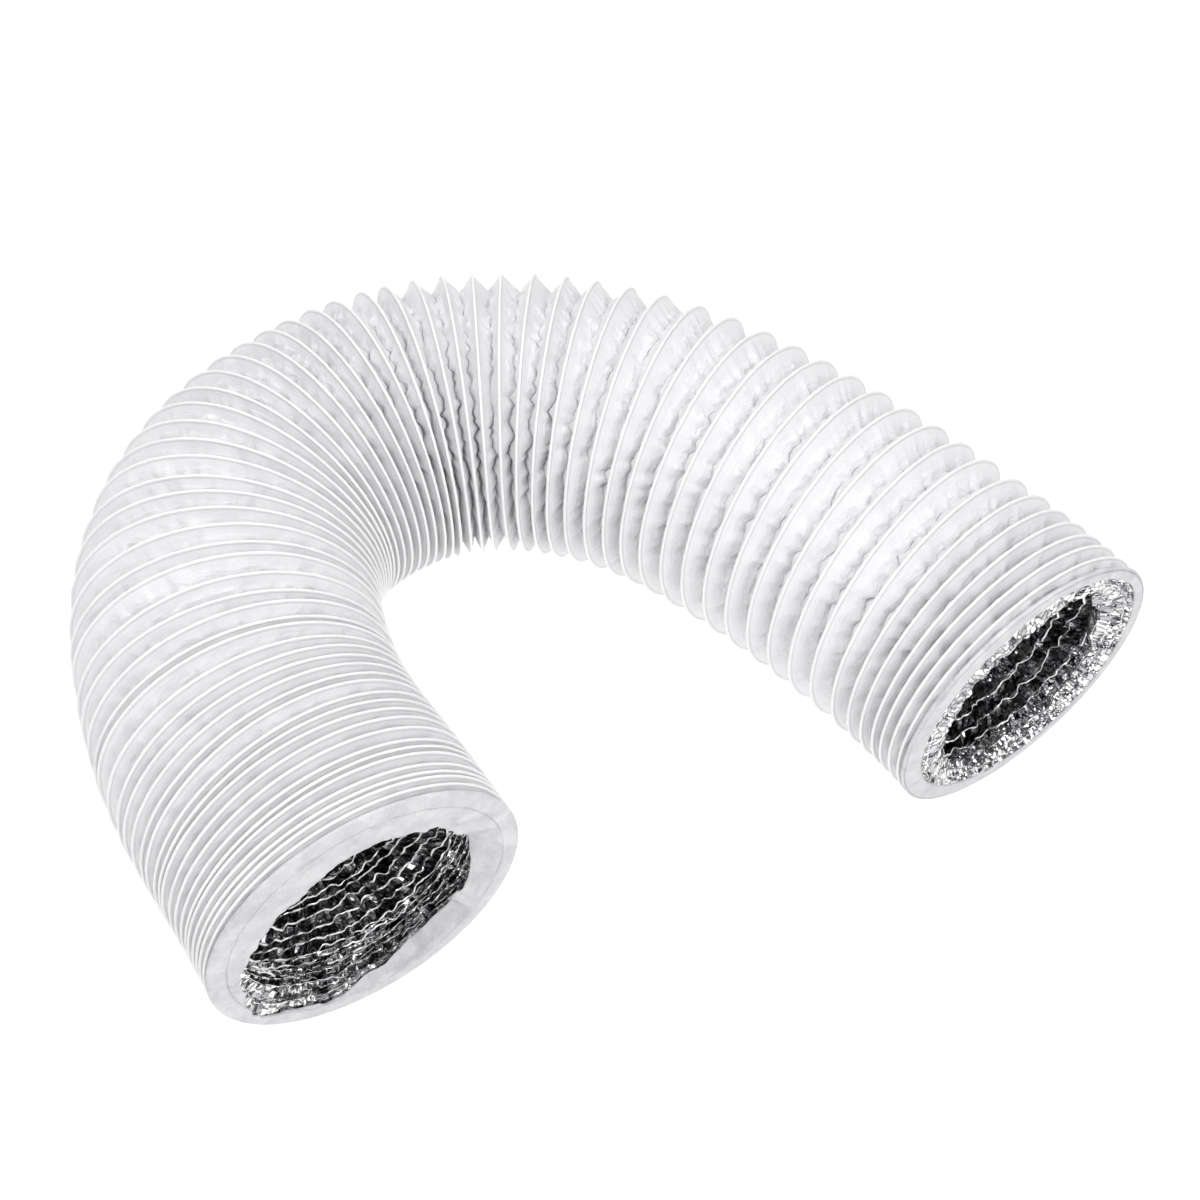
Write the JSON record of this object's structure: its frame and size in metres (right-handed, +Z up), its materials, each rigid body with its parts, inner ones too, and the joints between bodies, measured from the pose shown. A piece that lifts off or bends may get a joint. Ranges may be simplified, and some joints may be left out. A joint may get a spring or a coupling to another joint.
{
  "type": "flexible ventilation duct",
  "caption": "Flexible round ventilation duct with a pleated white film jacket over a wire helix, a foil liner and folded hems, bent into a U.",
  "frame": {"origin": "centre of the bounding box in plan, on the surface that the duct lies on", "axes": "+X along the longest side, +Y from the mouths towards the bend, +Z up from the surface it lies on"},
  "size_m": [0.5377, 0.4266, 0.154],
  "materials": {
    "pvc_film": "satin white film, softly wrinkled",
    "hem_film": "satin white film, folded double",
    "aluminium_foil": "bright crumpled foil on polyester film",
    "spring_steel": "drawn spring wire"
  },
  "bodies": {
    "section_07": {"jacket_07": "pvc_film", "liner_07": "aluminium_foil", "wire_coil_07": "spring_steel"},
    "section_01": {"jacket_01": "pvc_film", "liner_01": "aluminium_foil", "wire_coil_01": "spring_steel", "front_end_ring": "spring_steel", "front_hem": "hem_film"},
    "section_02": {"jacket_02": "pvc_film", "liner_02": "aluminium_foil", "wire_coil_02": "spring_steel"},
    "section_03": {"jacket_03": "pvc_film", "liner_03": "aluminium_foil", "wire_coil_03": "spring_steel"},
    "section_04": {"jacket_04": "pvc_film", "liner_04": "aluminium_foil", "wire_coil_04": "spring_steel"},
    "section_05": {"jacket_05": "pvc_film", "liner_05": "aluminium_foil", "wire_coil_05": "spring_steel"},
    "section_06": {"jacket_06": "pvc_film", "liner_06": "aluminium_foil", "wire_coil_06": "spring_steel"},
    "section_08": {"jacket_08": "pvc_film", "liner_08": "aluminium_foil", "wire_coil_08": "spring_steel"},
    "section_09": {"jacket_09": "pvc_film", "liner_09": "aluminium_foil", "wire_coil_09": "spring_steel"},
    "section_10": {"jacket_10": "pvc_film", "liner_10": "aluminium_foil", "wire_coil_10": "spring_steel"},
    "section_11": {"jacket_11": "pvc_film", "liner_11": "aluminium_foil", "wire_coil_11": "spring_steel"},
    "section_12": {"jacket_12": "pvc_film", "liner_12": "aluminium_foil", "wire_coil_12": "spring_steel"},
    "section_13": {"jacket_13": "pvc_film", "liner_13": "aluminium_foil", "wire_coil_13": "spring_steel"},
    "section_14": {"jacket_14": "pvc_film", "liner_14": "aluminium_foil", "wire_coil_14": "spring_steel", "rear_end_ring": "spring_steel", "rear_hem": "hem_film"}
  },
  "joints": [
    {"name": "front_bend_06", "type": "hinge", "parent": "section_07", "child": "section_06", "pos_m": [-0.18834, 0.03765, 0.077], "axis": [0, 0, -1], "range_deg": [-3, 20], "deforming": ["jacket_06", "liner_06", "wire_coil_06", "jacket_07", "liner_07", "wire_coil_07"]},
    {"name": "front_lift_05", "type": "hinge", "parent": "section_06", "child": "section_05", "pos_m": [-0.18738, -0.01691, 0.077], "axis": [-0.9762, -0.2168, 0], "range_deg": [0, 15], "deforming": ["jacket_05", "liner_05", "wire_coil_05"]},
    {"name": "front_stretch_04", "type": "slide", "parent": "section_05", "child": "section_04", "axis": [0.4151, -0.9098, 0], "range_m": [-0.008, 0.035], "deforming": ["jacket_04", "liner_04", "wire_coil_04"]},
    {"name": "front_bend_03", "type": "hinge", "parent": "section_04", "child": "section_03", "pos_m": [-0.15049, -0.10281, 0.077], "axis": [0, 0, -1], "range_deg": [-3, 20], "deforming": ["jacket_03", "liner_03", "wire_coil_03"]},
    {"name": "front_lift_02", "type": "hinge", "parent": "section_03", "child": "section_02", "pos_m": [-0.13249, -0.12804, 0.077], "axis": [-0.8096, -0.5869, 0], "range_deg": [0, 15], "deforming": ["jacket_02", "liner_02", "wire_coil_02"]},
    {"name": "front_stretch_01", "type": "slide", "parent": "section_02", "child": "section_01", "axis": [0.5536, -0.8328, 0], "range_m": [-0.008, 0.035], "deforming": ["jacket_01", "liner_01", "wire_coil_01"]},
    {"name": "rear_bend_07", "type": "hinge", "parent": "section_07", "child": "section_08", "pos_m": [-0.16602, 0.08406, 0.077], "axis": [0, 0, 1], "range_deg": [-3, 20], "deforming": ["jacket_08", "liner_08", "wire_coil_08"]},
    {"name": "rear_stretch_08", "type": "slide", "parent": "section_08", "child": "section_09", "axis": [0.8609, 0.5087, 0], "range_m": [-0.012, 0.025], "deforming": ["jacket_09", "liner_09", "wire_coil_09"]},
    {"name": "rear_lift_09", "type": "hinge", "parent": "section_09", "child": "section_10", "pos_m": [-0.07502, 0.13528, 0.077], "axis": [0.1236, -0.9923, 0], "range_deg": [0, 15], "deforming": ["jacket_10", "liner_10", "wire_coil_10"]},
    {"name": "rear_bend_10", "type": "hinge", "parent": "section_10", "child": "section_11", "pos_m": [-0.00768, 0.12981, 0.077], "axis": [0, 0, 1], "range_deg": [-3, 20], "deforming": ["jacket_11", "liner_11", "wire_coil_11"]},
    {"name": "rear_stretch_11", "type": "slide", "parent": "section_11", "child": "section_12", "axis": [0.8124, -0.5831, 0], "range_m": [-0.012, 0.025], "deforming": ["jacket_12", "liner_12", "wire_coil_12"]},
    {"name": "rear_lift_12", "type": "hinge", "parent": "section_12", "child": "section_13", "pos_m": [0.12815, 0.04102, 0.077], "axis": [-0.6933, -0.7207, 0], "range_deg": [0, 15], "deforming": ["jacket_13", "liner_13", "wire_coil_13"]},
    {"name": "rear_bend_13", "type": "hinge", "parent": "section_13", "child": "section_14", "pos_m": [0.18154, -0.0158, 0.077], "axis": [0, 0, 1], "range_deg": [-3, 20], "deforming": ["jacket_14", "liner_14", "wire_coil_14"]}
  ],
  "couplings": [
    {"joint": "front_bend_03", "follows": "front_bend_06", "ratio": 1},
    {"joint": "front_lift_02", "follows": "front_lift_05", "ratio": 1},
    {"joint": "front_stretch_01", "follows": "front_stretch_04", "ratio": 1},
    {"joint": "rear_bend_10", "follows": "rear_bend_07", "ratio": 1},
    {"joint": "rear_stretch_11", "follows": "rear_stretch_08", "ratio": 1},
    {"joint": "rear_lift_12", "follows": "rear_lift_09", "ratio": 1},
    {"joint": "rear_bend_13", "follows": "rear_bend_07", "ratio": 1}
  ]
}
